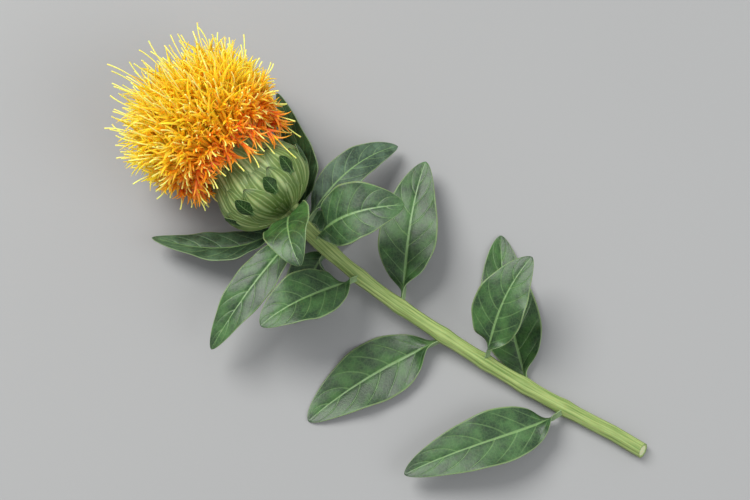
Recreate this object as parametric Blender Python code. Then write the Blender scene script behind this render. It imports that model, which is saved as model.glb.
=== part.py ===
"""A safflower picked with its leafy stem, lying on a flat surface.

Units are metres and +Z is up. The surface is z = 0. The stem lies along Y with the head at +Y.
Places on the plant are given round its axis: a distance along it, a distance out from it and an azimuth,
which is 0 towards the right (+X) and 90 degrees upwards.
"""
import math
import random

import bmesh
import bpy
from mathutils import Matrix, Vector

MM = 0.001
UP = Vector((0.0, 0.0, 1.0))
GOLDEN_ANGLE = math.radians(137.508)
SEAT_GAP = 0.3 * MM

# The stem. Its cut end lies flat, then it rises to the foot of the head.
STEM_LENGTH = 112 * MM
STEM_RADIUS = 2.0 * MM
STEM_TAPER = 0.08
STEM_SIDES = 10
STEM_RINGS = 15
STEM_FLAT_RUN = 9 * MM
STEM_CUT_SLANT = 0.9 * MM
STEM_BOW = 2.5 * MM
STEM_TURN = 4.6 * MM
STEM_TURN_LENGTH = 38 * MM
STEM_FLARE = 1.1 * MM
STEM_FLARE_LENGTH = 9 * MM
HEAD_FOOT_HEIGHT = 12.3 * MM

# The involucre, measured from its foot along the head's axis
INVOLUCRE_LENGTH = 20.5 * MM
INVOLUCRE_RADIUS = 12.6 * MM
INVOLUCRE_FOOT_RADIUS = 2.9 * MM
INVOLUCRE_WIDEST_AT = 0.45
INVOLUCRE_FOOT_FULLNESS = 0.62
NECK_RADIUS = 8.8 * MM
INVOLUCRE_SIDES = 20
INVOLUCRE_RINGS = 10
INVOLUCRE_RING_SPACING = 1.25
BRACTS_IN_A_ROW = 9
BRACT_STATIONS = 5
BRACT_CROWN = 0.35 * MM
BRACT_FOOT_RISE = -0.07 * MM
BRACT_TIP_RISE = 0.45 * MM
BRACT_SINK = 1.3 * MM
BRACT_FOOT_PHASE = 0.22
BRACT_TIP_PHASE = 0.96
BRACT_FULLNESS = 0.8
# One row of bracts an entry, in millimetres: where it starts, how long and how wide a bract is
BRACT_ROWS = ((2.5, 9.0, 9.0), (6.0, 9.5, 9.0), (9.5, 9.5, 8.6), (13.0, 9.0, 7.4))

# The small green blades that some outer bracts end in, by azimuth in degrees. They lie along the globe.
LEAFY_TIPS = (-8, 24, 60, 95, 132, 168)
LEAFY_TIP_START = 6.2 * MM
LEAFY_TIP_LENGTH = 5.6 * MM
LEAFY_TIP_WIDTH = 4.4 * MM
LEAFY_TIP_FOOT_RISE = 0.7 * MM
LEAFY_TIP_RISE = 1.9 * MM
LEAFY_TIP_CUP = 0.3 * MM

# The tuft of florets and the small core that they stand out of
TUFT_CENTRE = 34 * MM
TUFT_RADIUS = 21.5 * MM
TUFT_FLATNESS = 0.92
TUFT_UNEVEN = (-2.4 * MM, 1.6 * MM)
TUFT_WIDEST_ANGLE = math.radians(138)
CORE_CENTRE = 29 * MM
CORE_RADIUS = 9.6 * MM
CORE_HALF_LENGTH = 8.4 * MM
CORE_SIDES = 18
CORE_RINGS = 9
CORE_CAP_ANGLE = math.radians(10.8)
FLORET_COUNT = 310
FLORET_RADIUS = 0.72 * MM
FLORET_TIP_RADIUS = 0.42 * MM
FLORET_SOURCE = 25 * MM
FLORET_SOURCE_SPREAD = 4.5 * MM
FLORET_BEND_AT = 0.55
FLORET_ARCH = 4.0 * MM
RIM_ARCH_UP = 5.0 * MM
RIM_ARCH_OUT = 5.0 * MM
RIM_DROOP = 3.5 * MM
FLORET_ROOT_DEPTH = 0.8
FLORET_STRAY = (0.09, 0.05)
LONG_FLORET_EVERY = 7
LONG_FLORET_EXTRA = (2.4 * MM, 4.0 * MM)
LONG_FLORET_WIDEST_ANGLE = math.radians(95)
FLORET_LOWEST = 0.4 * FLORET_RADIUS

# Leaf blades
BLADE_THICKNESS = 0.7 * MM
RIB_THICKNESS = 1.2 * MM
BLADE_STATIONS = 9
BLADE_COLUMNS = (-1.0, -0.55, 0.0, 0.55, 1.0)
BLADE_FOOT_FULLNESS = 1.25
BLADE_TIP_FULLNESS = 0.62
STALK_HALF_WIDTH = 1.25 * MM
BLADE_TIP_HALF_WIDTH = 0.35 * MM
BLADE_CUP = 0.16
WAVE_HEIGHT = 0.55 * MM
WAVE_TURNS = 11.0
WAVE_SHIFT = 1.6
FACE_TURN_LENGTH = 0.25

# One leaf an entry: its name, how far below the head it grows, its azimuth at its foot and at its tip, the
# run of its midrib from its foot as three (along the stem, outward) points, its width, how far its face turns
# up to the sky (0 to 1) and how far its tip droops. Lengths are in millimetres and angles in degrees.
LEAVES = (
    ("leaf_head_right_front", 1.2, -38, -34, ((0.0, 9.0), (9.5, 16.0), (27.5, 24.6)), 10.0, 0.30, 0.0),
    ("leaf_head_left_front", 1.2, 208, 200, ((0.0, 11.0), (7.0, 20.0), (22.0, 28.5)), 11.0, 0.50, 0.0),
    ("leaf_head_top", 1.5, 98, 116, ((1.0, 9.0), (0.0, 19.0), (-11.0, 22.0)), 14.0, 0.35, 0.0),
    ("leaf_head_right", 5.0, 0, -4, ((2.5, 9.0), (3.5, 22.0), (-2.0, 32.5)), 10.5, 0.85, 5.0),
    ("leaf_head_left", 5.5, 160, 172, ((0.0, 11.0), (-1.0, 25.0), (-4.2, 38.0)), 11.0, 0.80, 6.0),
    ("leaf_under_right", 6.0, 275, 305, ((0.0, 4.0), (-6.0, 14.0), (-14.0, 26.0)), 12.0, 0.90, 0.0),
    ("leaf_stem_1", 10.0, 68, 44, ((1.0, 8.0), (-2.0, 17.0), (-10.0, 25.0)), 17.0, 0.85, 4.0),
    ("leaf_under_left", 14.0, 235, 222, ((0.0, 4.0), (-2.0, 13.0), (-8.0, 24.0)), 13.0, 0.90, 0.0),
    ("leaf_stem_2", 24.0, 140, 155, ((3.0, 8.0), (10.0, 18.0), (12.0, 28.0)), 15.0, 0.80, 6.0),
    ("leaf_stem_3", 37.0, 0, 5, ((4.0, 8.0), (12.0, 20.0), (16.0, 35.0)), 16.0, 0.80, 6.0),
    ("leaf_stem_4", 51.0, 210, 200, ((4.0, 7.0), (12.0, 22.0), (16.0, 38.0)), 17.0, 0.85, 2.0),
    ("leaf_stem_5", 64.0, 48, 34, ((2.0, 7.0), (6.0, 18.0), (4.0, 31.0)), 15.0, 0.75, 6.0),
    ("leaf_stem_6", 76.0, 325, 335, ((4.0, 6.0), (16.0, 18.0), (24.0, 34.0)), 16.0, 0.90, 2.0),
    ("leaf_stem_7", 88.0, 160, 170, ((4.0, 8.0), (18.0, 20.0), (28.0, 34.0)), 15.0, 0.85, 4.0),
)

STEM_GREEN = (0.42, 0.52, 0.22)
INVOLUCRE_GREEN = (0.44, 0.55, 0.30)
FLORET_ORANGE = (1.0, 0.48, 0.04)
LEAF_GREEN = (0.10, 0.22, 0.10)


def clear_scene():
    for obj in list(bpy.data.objects):
        bpy.data.objects.remove(obj)


def make_material(name, colour, roughness):
    material = bpy.data.materials.new(name)
    material.use_nodes = True
    shader = material.node_tree.nodes["Principled BSDF"]
    shader.inputs["Base Color"].default_value = (*colour, 1.0)
    shader.inputs["Roughness"].default_value = roughness
    shader.inputs["Metallic"].default_value = 0.0
    return material


def add_object(name, verts, faces, material=None):
    """A mesh object with its faces pointing outwards."""
    mesh = bpy.data.meshes.new(name)
    mesh.from_pydata([tuple(v) for v in verts], [], faces)
    shape = bmesh.new()
    shape.from_mesh(mesh)
    bmesh.ops.recalc_face_normals(shape, faces=shape.faces)
    shape.to_mesh(mesh)
    shape.free()
    if material is not None:
        mesh.materials.append(material)
    obj = bpy.data.objects.new(name, mesh)
    bpy.context.scene.collection.objects.link(obj)
    return obj


def lofted(name, verts, sides, material=None):
    """A closed body through rings of the same number of points, with a flat cap on both ends."""
    faces = []
    for start in range(0, len(verts) - sides, sides):
        for k in range(sides):
            a, b = start + k, start + (k + 1) % sides
            faces.append((a, b, b + sides, a + sides))
    faces.append(tuple(range(sides)))
    faces.append(tuple(range(len(verts) - sides, len(verts))))
    return add_object(name, verts, faces, material)


def plate(name, top, bottom, columns, material=None):
    """A closed plate from two grids of points, split into triangles alike on both faces."""
    rows, shift = len(top) // columns, len(top)
    faces = []
    for i in range(rows - 1):
        for j in range(columns - 1):
            a, b = i * columns + j, i * columns + j + 1
            c, d = a + columns, b + columns
            halves = ((a, b, c), (b, d, c)) if j < columns // 2 else ((a, b, d), (a, d, c))
            for triangle in halves:
                faces.append(triangle)
                faces.append(tuple(v + shift for v in reversed(triangle)))
    left = [i * columns for i in range(rows)]
    far = [(rows - 1) * columns + j for j in range(1, columns - 1)]
    right = [i * columns + columns - 1 for i in reversed(range(rows))]
    rim = left + far + right + list(reversed(range(1, columns - 1)))
    for a, b in zip(rim, rim[1:] + rim[:1]):
        faces.append((a, b, b + shift))
        faces.append((a, b + shift, a + shift))
    return add_object(name, list(top) + list(bottom), faces, material)


def smooth(obj, degrees):
    obj.data.shade_smooth()
    obj.data.set_sharp_from_angle(angle=math.radians(degrees))


def fuse(base, parts):
    """Joins the parts to the base in one Boolean union, and removes them.

    The parts cross each other by the dozen, so the union uses the solver for closed meshes.
    """
    collection = bpy.data.collections.new("repeats")
    for part in parts:
        bpy.context.scene.collection.objects.unlink(part)
        collection.objects.link(part)
    union = base.modifiers.new("join", "BOOLEAN")
    union.operation = "UNION"
    union.operand_type = "COLLECTION"
    union.collection = collection
    union.solver = "MANIFOLD"
    evaluated = base.evaluated_get(bpy.context.evaluated_depsgraph_get())
    joined = bpy.data.meshes.new_from_object(evaluated)
    base.modifiers.remove(union)
    base.data = joined
    for part in parts:
        bpy.data.objects.remove(part)
    bpy.data.collections.remove(collection)


def cubic(points, t):
    """A point on the curve that four control points give."""
    a, b, c, d = points
    u = 1.0 - t
    return a * u ** 3 + b * 3 * u * u * t + c * 3 * u * t * t + d * t ** 3


def arc(start, middle, end, t):
    """A point on the curve that three control points give."""
    return start * (1 - t) ** 2 + middle * (2 * t * (1 - t)) + end * t * t


def stem_share(y):
    """0 on the flat run at the cut end, and 1 at the foot of the head."""
    return max(0.0, (y - STEM_FLAT_RUN) / (STEM_LENGTH - STEM_FLAT_RUN))


def stem_axis(y):
    """The stem's centre at y from its cut end. It bows to the left, and turns right and up under the head."""
    share = stem_share(y)
    rest = STEM_RADIUS * math.cos(math.pi / STEM_SIDES)
    turn = max(0.0, (y - STEM_LENGTH + STEM_TURN_LENGTH) / STEM_TURN_LENGTH)
    x = STEM_TURN * turn ** 2 - STEM_BOW * math.sin(math.pi * share) * (1.0 - share)
    return Vector((x, y, rest + (HEAD_FOOT_HEIGHT - rest) * share ** 2))


def stem_radius(y):
    """The stem tapers a little, and flares in its last millimetres towards the involucre."""
    flare = max(0.0, (y - STEM_LENGTH + STEM_FLARE_LENGTH) / STEM_FLARE_LENGTH)
    return STEM_RADIUS * (1.0 - STEM_TAPER * stem_share(y)) + STEM_FLARE * flare ** 2


def frame_at(y):
    """The stem's centre at y, and the unit directions along it, to its right and upwards."""
    step = 0.5 * MM
    along = (stem_axis(y + step) - stem_axis(y - step)).normalized()
    right = along.cross(UP).normalized()
    return stem_axis(y), along, right, right.cross(along).normalized()


def outward(frame, azimuth):
    return frame[2] * math.cos(azimuth) + frame[3] * math.sin(azimuth)


def round_axis(frame, along, out, azimuth):
    """A point given by its place along an axis, its distance out from it and its azimuth."""
    return frame[0] + frame[1] * along + outward(frame, azimuth) * out


def make_stem(material):
    verts = []
    rising = STEM_LENGTH - SEAT_GAP - STEM_FLAT_RUN
    stations = [0.0] + [STEM_FLAT_RUN + rising * i / (STEM_RINGS - 2) for i in range(STEM_RINGS - 1)]
    for y in stations:
        frame = frame_at(y)
        for k in range(STEM_SIDES):
            azimuth = 2 * math.pi * (k + 0.5) / STEM_SIDES - math.pi / 2
            slant = STEM_CUT_SLANT * math.sin(azimuth) if y == 0.0 else 0.0
            verts.append(round_axis(frame, slant, stem_radius(y), azimuth))
    obj = lofted("stem", verts, STEM_SIDES, material)
    smooth(obj, 40)
    return obj


def involucre_radius(s):
    """The profile of the involucre: a globe on a narrow foot, drawn in again to a neck."""
    u = s / INVOLUCRE_LENGTH
    if u < INVOLUCRE_WIDEST_AT:
        swell = math.sin(math.pi / 2 * (u / INVOLUCRE_WIDEST_AT) ** INVOLUCRE_FOOT_FULLNESS)
        return INVOLUCRE_FOOT_RADIUS + (INVOLUCRE_RADIUS - INVOLUCRE_FOOT_RADIUS) * swell
    close = (1.0 + math.cos(math.pi * (u - INVOLUCRE_WIDEST_AT) / (1.0 - INVOLUCRE_WIDEST_AT))) / 2
    return NECK_RADIUS + (INVOLUCRE_RADIUS - NECK_RADIUS) * close


def make_bract(frame, start, length, width, azimuth):
    """A scale on the involucre, widest below its middle, with its underside sunk in and its tip proud."""
    top, bottom = [], []
    for i in range(BRACT_STATIONS):
        t = i / (BRACT_STATIONS - 1)
        s = start + length * t
        surface = involucre_radius(min(s, INVOLUCRE_LENGTH))
        phase = BRACT_FOOT_PHASE + (BRACT_TIP_PHASE - BRACT_FOOT_PHASE) * t
        half_angle = width / 2 * math.sin(math.pi * phase) ** BRACT_FULLNESS / surface
        rise = BRACT_FOOT_RISE + (BRACT_TIP_RISE - BRACT_FOOT_RISE) * t
        for side in (-1, 0, 1):
            angle = azimuth + side * half_angle
            crown = 0.0 if side else BRACT_CROWN
            top.append(round_axis(frame, s, surface + rise + crown, angle))
            bottom.append(round_axis(frame, s, surface - BRACT_SINK, angle))
    return plate("bract", top, bottom, 3)


def make_leafy_tip(frame, azimuth):
    """A small oval blade that lies along the globe, with its foot sunk in and its tip standing off."""
    top, bottom = [], []
    for i in range(BRACT_STATIONS):
        t = i / (BRACT_STATIONS - 1)
        s = LEAFY_TIP_START + LEAFY_TIP_LENGTH * t
        out = involucre_radius(s) + LEAFY_TIP_FOOT_RISE + (LEAFY_TIP_RISE - LEAFY_TIP_FOOT_RISE) * t
        half_angle = blade_half_width(t, LEAFY_TIP_WIDTH) / out
        for side in (-1, 0, 1):
            angle = azimuth + side * half_angle
            cupped = out - LEAFY_TIP_CUP * abs(side)
            top.append(round_axis(frame, s, cupped - BLADE_THICKNESS, angle))
            bottom.append(round_axis(frame, s, cupped, angle))
    return plate("leafy_tip", top, bottom, 3)


def make_involucre(material):
    frame = frame_at(STEM_LENGTH)
    verts = []
    for i in range(INVOLUCRE_RINGS):
        s = INVOLUCRE_LENGTH * (i / (INVOLUCRE_RINGS - 1)) ** INVOLUCRE_RING_SPACING
        for k in range(INVOLUCRE_SIDES):
            verts.append(round_axis(frame, s, involucre_radius(s), 2 * math.pi * k / INVOLUCRE_SIDES))
    globe = lofted("involucre", verts, INVOLUCRE_SIDES, material)
    scales = []
    for row, (start, length, width) in enumerate(BRACT_ROWS):
        for k in range(BRACTS_IN_A_ROW):
            azimuth = 2 * math.pi * (k + 0.5 * (row % 2)) / BRACTS_IN_A_ROW
            scales.append(make_bract(frame, start * MM, length * MM, width * MM, azimuth))
    for degrees in LEAFY_TIPS:
        scales.append(make_leafy_tip(frame, math.radians(degrees)))
    fuse(globe, scales)
    smooth(globe, 30)
    return globe


def core_depth(frame, point):
    """0 at the middle of the florets' core and 1 on its surface."""
    away = point - frame[0]
    along = away.dot(frame[1])
    out = (away - frame[1] * along).length
    return math.hypot((along - CORE_CENTRE) / CORE_HALF_LENGTH, out / CORE_RADIUS)


def make_core(frame, material):
    """The small egg that the florets stand out of, cut flat where it sits on the involucre."""
    verts = []
    for i in range(CORE_RINGS):
        angle = CORE_CAP_ANGLE + (math.pi - 2 * CORE_CAP_ANGLE) * i / (CORE_RINGS - 1)
        s = CORE_CENTRE - CORE_HALF_LENGTH * math.cos(angle)
        for k in range(CORE_SIDES):
            verts.append(round_axis(frame, s, CORE_RADIUS * math.sin(angle), 2 * math.pi * k / CORE_SIDES))
    return lofted("florets", verts, CORE_SIDES, material)


def make_floret(frame, polar, azimuth, reach):
    """A three-sided thread that arches from the core to the tuft's outside, and slides along the floor.

    The threads at the rim arch up and outwards first, and then curl down towards the globe.
    """
    source = round_axis(frame, FLORET_SOURCE, FLORET_SOURCE_SPREAD * math.sin(polar), azimuth)
    curl = (polar / TUFT_WIDEST_ANGLE) ** 3
    along = TUFT_CENTRE + TUFT_FLATNESS * reach * math.cos(polar) - RIM_DROOP * curl ** 2
    tip = round_axis(frame, along, reach * math.sin(polar), azimuth)
    middle = source.lerp(tip, FLORET_BEND_AT)
    middle += frame[1] * (FLORET_ARCH * math.sin(polar) + RIM_ARCH_UP * curl)
    middle += outward(frame, azimuth) * (RIM_ARCH_OUT * curl)
    root, step = 0.0, 0.02
    while core_depth(frame, arc(source, middle, tip, root + step)) < FLORET_ROOT_DEPTH:
        root += step
    path = [arc(source, middle, tip, t) for t in (root, (1.0 + root) / 2, 1.0)]
    for point in path:
        point.z = max(point.z, FLORET_LOWEST)
    verts = []
    directions = (path[1] - path[0], path[2] - path[0], path[2] - path[1])
    for point, ahead, radius in zip(path, directions, (FLORET_RADIUS, FLORET_RADIUS, FLORET_TIP_RADIUS)):
        side = ahead.cross(frame[2] if polar < 0.1 else frame[1]).normalized()
        other = ahead.normalized().cross(side)
        for k in range(3):
            angle = 2 * math.pi * k / 3
            corner = point + (side * math.cos(angle) + other * math.sin(angle)) * radius
            corner.z = max(corner.z, 0.0)
            verts.append(corner)
    return lofted("floret", verts, 3)


def make_florets(material):
    frame = frame_at(STEM_LENGTH)
    draw = random.Random(11)
    core = make_core(frame, material)
    threads = []
    for i in range(FLORET_COUNT):
        share = (i + 0.5) / FLORET_COUNT
        polar = math.acos(1.0 - share * (1.0 - math.cos(TUFT_WIDEST_ANGLE)))
        azimuth = i * GOLDEN_ANGLE + draw.uniform(-FLORET_STRAY[0], FLORET_STRAY[0])
        polar += draw.uniform(-FLORET_STRAY[1], FLORET_STRAY[1])
        reach = TUFT_RADIUS + draw.uniform(*TUFT_UNEVEN)
        if i % LONG_FLORET_EVERY == 0 and polar < LONG_FLORET_WIDEST_ANGLE:
            reach += draw.uniform(*LONG_FLORET_EXTRA)
        threads.append(make_floret(frame, polar, azimuth, reach))
    fuse(core, threads)
    smooth(core, 30)
    return core


def blade_half_width(t, width):
    """Half of an oval blade's width at t of its length, from a short stalk to a blunt tip."""
    t = min(t, 0.999)
    fullness = BLADE_FOOT_FULLNESS + (BLADE_TIP_FULLNESS - BLADE_FOOT_FULLNESS) * t
    blade = width / 2 * math.sin(math.pi * t) ** fullness
    stalk = min(STALK_HALF_WIDTH, width / 4) * (1.0 - t)
    return max(math.hypot(blade, stalk), BLADE_TIP_HALF_WIDTH)


def leaf_midrib(frame, foot, azimuths, run, droop):
    """The points along a leaf's midrib. Where it would go through the floor, it slides along it."""
    controls = [Vector((0.0, foot))] + [Vector((along * MM, foot + out * MM)) for along, out in run]
    points = []
    for i, azimuth in enumerate(azimuths):
        t = i / (BLADE_STATIONS - 1)
        along, out = cubic(controls, t)
        point = round_axis(frame, along, out, azimuth)
        point.z = max(point.z - droop * MM * t * t, BLADE_THICKNESS / 2)
        points.append(point)
    return points


def blade_face(frame, ahead, azimuth, turn):
    """The way the upper side of a blade looks: square to the midrib, turned from the head towards the sky."""
    around = frame[1].cross(outward(frame, azimuth))
    face = around.cross(ahead).normalized()
    if face.dot(frame[1]) < 0:
        face.negate()
    face = (face * (1.0 - turn) + UP * turn).normalized()
    return (face - ahead * face.dot(ahead)).normalized()


def make_leaf(row, material, draw):
    name, below, foot_azimuth, tip_azimuth, run, width, face_up, droop = row
    y = STEM_LENGTH - below * MM
    frame = frame_at(y)
    foot = stem_radius(y) + SEAT_GAP + BLADE_THICKNESS / 2
    turn = tip_azimuth - foot_azimuth
    azimuths = [math.radians(foot_azimuth + turn * i / (BLADE_STATIONS - 1)) for i in range(BLADE_STATIONS)]
    midrib = leaf_midrib(frame, foot, azimuths, run, droop)
    phase = draw.uniform(0.0, 2 * math.pi)
    top, bottom = [], []
    for i, point in enumerate(midrib):
        t = i / (BLADE_STATIONS - 1)
        ahead = (midrib[min(i + 1, BLADE_STATIONS - 1)] - midrib[max(i - 1, 0)]).normalized()
        turned = face_up * min(1.0, t / FACE_TURN_LENGTH)
        face = blade_face(frame, ahead, azimuths[i], turned)
        side = ahead.cross(face)
        half = blade_half_width(t, width * MM)
        for v in BLADE_COLUMNS:
            wave = math.sin(phase + WAVE_TURNS * t + (WAVE_SHIFT if v > 0 else 0.0)) * math.sin(math.pi * t)
            lift = BLADE_CUP * abs(v) * half + WAVE_HEIGHT * v * v * wave
            middle = point + side * (v * half) + face * lift
            middle.z = max(middle.z, BLADE_THICKNESS / 2)
            under = middle - face * ((BLADE_THICKNESS if v else 2 * RIB_THICKNESS - BLADE_THICKNESS) / 2)
            under.z = max(under.z, 0.0)
            top.append(middle + face * (BLADE_THICKNESS / 2))
            bottom.append(under)
    obj = plate(name, top, bottom, len(BLADE_COLUMNS), material)
    smooth(obj, 50)
    return obj


def centre_on_origin(objects):
    """Moves the flower so that the origin lies under the middle of its box."""
    corners = [v.co for obj in objects for v in obj.data.vertices]
    x_middle = (min(c.x for c in corners) + max(c.x for c in corners)) / 2
    y_middle = (min(c.y for c in corners) + max(c.y for c in corners)) / 2
    shift = Matrix.Translation((-x_middle, -y_middle, 0.0))
    for obj in objects:
        obj.data.transform(shift)


def main():
    clear_scene()
    stem_material = make_material("stem_green", STEM_GREEN, 0.55)
    involucre_material = make_material("involucre_green", INVOLUCRE_GREEN, 0.6)
    floret_material = make_material("floret_orange", FLORET_ORANGE, 0.7)
    leaf_material = make_material("leaf_green", LEAF_GREEN, 0.45)
    flower = [make_stem(stem_material), make_involucre(involucre_material), make_florets(floret_material)]
    draw = random.Random(5)
    for row in LEAVES:
        flower.append(make_leaf(row, leaf_material, draw))
    centre_on_origin(flower)


main()
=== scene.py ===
# %% [markdown]
# # A picked safflower
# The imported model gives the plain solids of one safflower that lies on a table: a stem, a globe of bracts, a
# tuft of florets and fourteen leaves. This lesson dresses it. Each piece is built again, finer, from the rules
# that the solids follow, so it lands in the same place, and each finish is a small tree of shader nodes.

# %% Load the frame
import math
import random

import bmesh
import bpy
from mathutils import Matrix, Vector


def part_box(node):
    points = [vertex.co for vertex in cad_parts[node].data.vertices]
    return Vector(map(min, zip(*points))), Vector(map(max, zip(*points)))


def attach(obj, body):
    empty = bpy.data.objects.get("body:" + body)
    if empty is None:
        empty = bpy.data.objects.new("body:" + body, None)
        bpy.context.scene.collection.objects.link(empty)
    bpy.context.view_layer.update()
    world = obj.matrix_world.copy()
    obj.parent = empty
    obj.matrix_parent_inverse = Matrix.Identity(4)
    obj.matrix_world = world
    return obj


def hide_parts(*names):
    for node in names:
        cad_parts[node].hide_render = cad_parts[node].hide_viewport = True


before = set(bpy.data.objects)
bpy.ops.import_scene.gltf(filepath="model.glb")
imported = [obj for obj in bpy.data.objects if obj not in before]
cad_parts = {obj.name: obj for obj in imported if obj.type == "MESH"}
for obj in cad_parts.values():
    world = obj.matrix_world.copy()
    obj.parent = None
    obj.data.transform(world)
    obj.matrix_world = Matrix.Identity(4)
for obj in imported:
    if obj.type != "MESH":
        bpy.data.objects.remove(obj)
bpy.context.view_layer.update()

MM = 0.001
UP = Vector((0.0, 0.0, 1.0))
print("nodes in the frame:", len(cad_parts))

# %% [markdown]
# ## The plant's own ruler
# A plant grows round an axis, so places on it are easiest to give as a distance along the stem, a distance out
# from it and an azimuth round it. Azimuth 0 points right and 90 degrees points up. The stem's axis is a formula
# of y: it lies flat at the cut end, rises to the head, bows a little to the left and turns right under the head.
# Five short functions turn such a place into a point, and every piece of the plant is built with them.

# %% The stem's rule
STEM_LENGTH = 112 * MM
STEM_RADIUS = 2.0 * MM
STEM_TAPER = 0.08
STEM_FLAT_RUN = 9 * MM
STEM_BOW = 2.5 * MM
STEM_TURN = 4.6 * MM
STEM_TURN_LENGTH = 38 * MM
STEM_FLARE = 1.1 * MM
STEM_FLARE_LENGTH = 9 * MM
STEM_CUT_SLANT = 0.9 * MM
HEAD_FOOT_HEIGHT = 12.3 * MM
SOLID_SIDES = 10
SOLID_RINGS = 15
SOLID_GAP = 0.3 * MM


def stem_share(y):
    """0 on the flat run at the cut end, and 1 at the foot of the head."""
    return max(0.0, (y - STEM_FLAT_RUN) / (STEM_LENGTH - STEM_FLAT_RUN))


def stem_axis(y):
    share = stem_share(y)
    rest = STEM_RADIUS * math.cos(math.pi / SOLID_SIDES)
    turn = max(0.0, (y - STEM_LENGTH + STEM_TURN_LENGTH) / STEM_TURN_LENGTH)
    x = STEM_TURN * turn ** 2 - STEM_BOW * math.sin(math.pi * share) * (1.0 - share)
    return Vector((x, y, rest + (HEAD_FOOT_HEIGHT - rest) * share ** 2)) + shift


def stem_radius(y):
    flare = max(0.0, (y - STEM_LENGTH + STEM_FLARE_LENGTH) / STEM_FLARE_LENGTH)
    return STEM_RADIUS * (1.0 - STEM_TAPER * stem_share(y)) + STEM_FLARE * flare ** 2


def frame_at(y):
    """The stem's centre at y, and the unit directions along it, to its right and upwards."""
    step = 0.5 * MM
    along = (stem_axis(y + step) - stem_axis(y - step)).normalized()
    right = along.cross(UP).normalized()
    return stem_axis(y), along, right, right.cross(along).normalized()


def round_axis(place, along, out, azimuth):
    """A point given by its place along an axis, its distance out from it and its azimuth."""
    outward = place[2] * math.cos(azimuth) + place[3] * math.sin(azimuth)
    return place[0] + place[1] * along + outward * out


# %% [markdown]
# The solid stem stands somewhere in the frame, and the rule above starts at zero. The rule's own rings, made
# with the same number of sides, are compared with the solid's box, and the difference is the shift that every
# later point gets. Nothing is fitted by eye.

# %% Find the shift from the rule to the frame
shift = Vector((0.0, 0.0, 0.0))
rising = STEM_LENGTH - SOLID_GAP - STEM_FLAT_RUN
ring_places = [0.0] + [STEM_FLAT_RUN + rising * i / (SOLID_RINGS - 2) for i in range(SOLID_RINGS - 1)]
corners = []
for y in ring_places:
    for k in range(SOLID_SIDES):
        azimuth = 2 * math.pi * (k + 0.5) / SOLID_SIDES - math.pi / 2
        slant = STEM_CUT_SLANT * math.sin(azimuth) if y == 0.0 else 0.0
        corners.append(round_axis(frame_at(y), slant, stem_radius(y), azimuth))
stem_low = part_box("stem")[0]
shift = stem_low - Vector([min(c[axis] for c in corners) for axis in range(3)])
shift.z = 0.0
HEAD = frame_at(STEM_LENGTH)
HEAD_TURN = Matrix((HEAD[2], HEAD[3], HEAD[1])).transposed().to_4x4()
HEAD_MATRIX = Matrix.Translation(HEAD[0]) @ HEAD_TURN
print("shift in mm:", [round(v / MM, 2) for v in shift], "head foot:", [round(v / MM, 1) for v in HEAD[0]])

# %% [markdown]
# ## Three helpers
# Both shader trees and geometry trees are nodes joined by links. `add_node` makes one node, sets its properties
# and feeds its inputs: a socket is linked, and any other value is typed in. `calc` is the same for plain sums.
# Colours are written as they look on a screen, from 0 to 255, and `paint` turns them into the linear values
# that a renderer works with.

# %% Node and colour helpers
def add_node(tree, kind, inputs=None, **settings):
    node = tree.nodes.new(kind)
    for name, value in settings.items():
        setattr(node, name, value)
    for name, value in (inputs or {}).items():
        found = [s for s in node.inputs if s.enabled and s.name == name] if isinstance(name, str) else None
        socket = found[0] if found else node.inputs[name]
        if isinstance(value, bpy.types.NodeSocket):
            tree.links.new(value, socket)
        else:
            socket.default_value = value
    return node


def calc(tree, operation, *values):
    node = add_node(tree, "ShaderNodeMath", dict(enumerate(values)), operation=operation)
    return node.outputs[0]


def paint(red, green, blue):
    linear = [(c / 255 / 12.92) if c <= 10 else ((c / 255 + 0.055) / 1.055) ** 2.4 for c in (red, green, blue)]
    return (*linear, 1.0)


# %% [markdown]
# A finish starts as a Principled shader. `blend` mixes two colours by a mask, `between` turns a smooth value
# into a soft-edged mask, and `bumped` sends a height to the shader's normal.

# %% Shader helpers
def new_finish(name, roughness, **numbers):
    """A material, its node tree and its Principled shader. Numbers that are the same all over are set here."""
    material = bpy.data.materials.new(name)
    material.use_nodes = True
    tree = material.node_tree
    shader = tree.nodes["Principled BSDF"]
    shader.inputs["Roughness"].default_value = roughness
    for key, value in numbers.items():
        shader.inputs[key.replace("_", " ")].default_value = value
    return material, tree, shader


def blend(tree, mask, first, second, mode="MIX"):
    node = add_node(tree, "ShaderNodeMix", data_type="RGBA", blend_type=mode)
    for slot, value in ((node.inputs[0], mask), (node.inputs[6], first), (node.inputs[7], second)):
        if isinstance(value, bpy.types.NodeSocket):
            tree.links.new(value, slot)
        else:
            slot.default_value = value
    return node.outputs[2]


def between(tree, value, low, high, to_low=0.0, to_high=1.0):
    node = add_node(tree, "ShaderNodeMapRange", interpolation_type="SMOOTHSTEP")
    for slot, given in zip(node.inputs, (value, low, high, to_low, to_high)):
        if isinstance(given, bpy.types.NodeSocket):
            tree.links.new(given, slot)
        else:
            slot.default_value = given
    return node.outputs[0]


def noise(tree, size, detail=2.0, roughness=0.5, vector=None, stretch=None):
    """Noise whose blotches are about this size in metres, on the piece's own coordinates."""
    if vector is None:
        vector = add_node(tree, "ShaderNodeTexCoord").outputs["Object"]
    if stretch is not None:
        vector = add_node(tree, "ShaderNodeMapping", {"Vector": vector, "Scale": stretch}).outputs[0]
    node = add_node(tree, "ShaderNodeTexNoise", {"Vector": vector, "Scale": 1.0 / size, "Detail": detail,
                                                 "Roughness": roughness})
    return node.outputs[0]


def bumped(tree, shader, height, distance, strength=1.0):
    node = add_node(tree, "ShaderNodeBump", {"Height": height, "Distance": distance, "Strength": strength})
    tree.links.new(node.outputs[0], shader.inputs["Normal"])


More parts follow.
